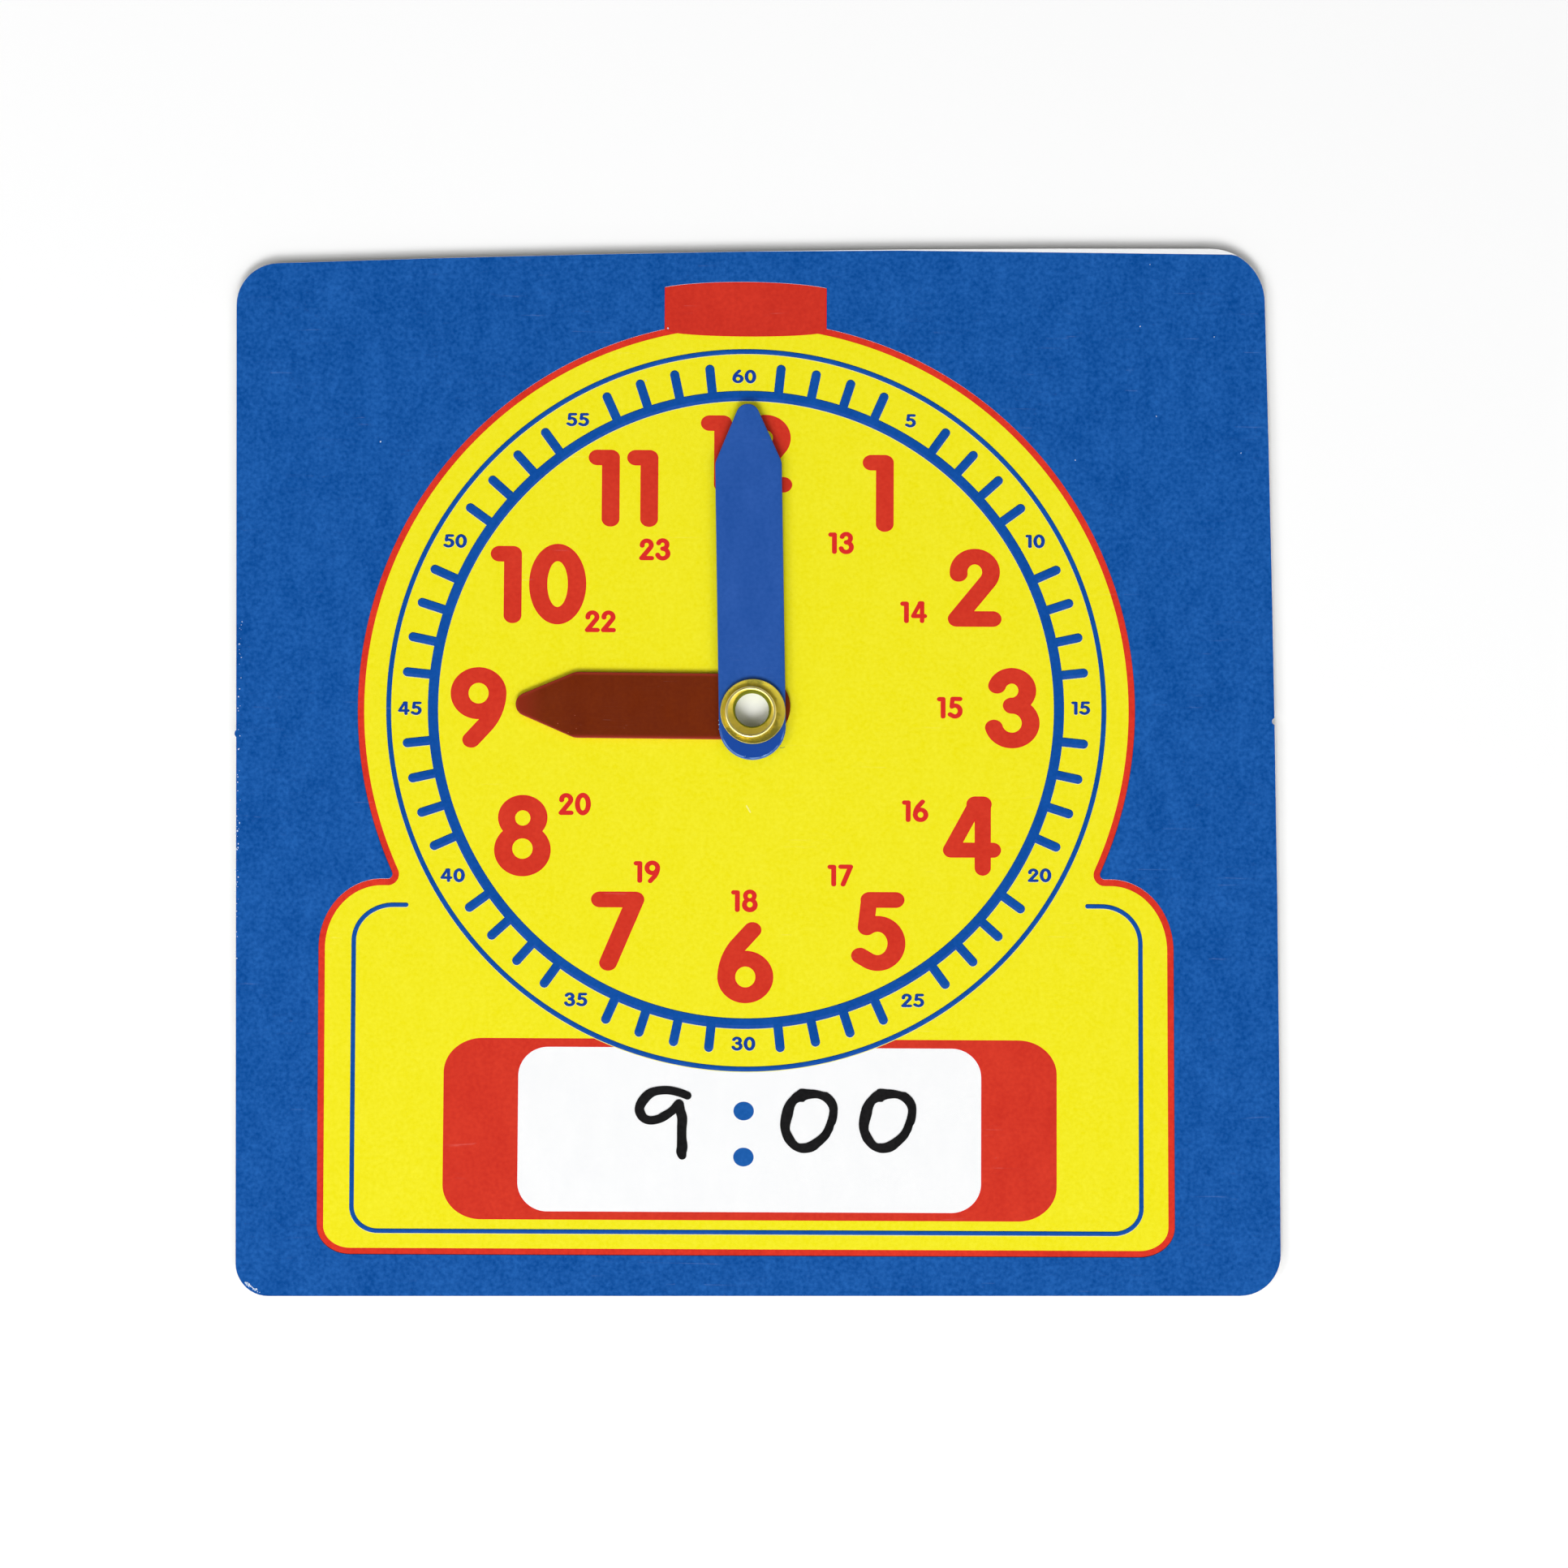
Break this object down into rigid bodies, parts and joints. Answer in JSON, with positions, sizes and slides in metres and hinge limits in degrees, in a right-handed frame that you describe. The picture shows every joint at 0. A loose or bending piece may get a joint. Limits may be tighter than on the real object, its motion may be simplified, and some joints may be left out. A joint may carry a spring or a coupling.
{
  "type": "teaching clock card",
  "caption": "Flat laminated square card clock with a printed dial, a blank time window and hands turning by friction on a hollow brass eyelet.",
  "frame": {"origin": "on the eyelet's axis, in the plane of the flat land of its back flange, which is the lowest plane of the part", "axes": "+Z out of the printed dial along the eyelet's axis, +Y towards the twelve, +X towards the three"},
  "size_m": [0.1155, 0.1163, 0.0033],
  "materials": {
    "board": "matte",
    "film": "gloss",
    "red_plastic": "satin",
    "blue_plastic": "satin",
    "brass": "polished"
  },
  "bodies": {
    "card": {"card_board": "board", "front_film": "film", "back_film": "film", "eyelet": "brass", "eyelet_washer": "brass"},
    "hour": {"hour_hand": "red_plastic"},
    "minute": {"minute_hand": "blue_plastic"}
  },
  "joints": [
    {"name": "hour_hand_turn", "type": "hinge", "parent": "card", "child": "hour", "pos_m": [0, 0, 0.00153], "axis": [0, 0, 1], "continuous": true},
    {"name": "minute_hand_turn", "type": "hinge", "parent": "card", "child": "minute", "pos_m": [0, 0, 0.00202], "axis": [0, 0, 1], "continuous": true}
  ]
}
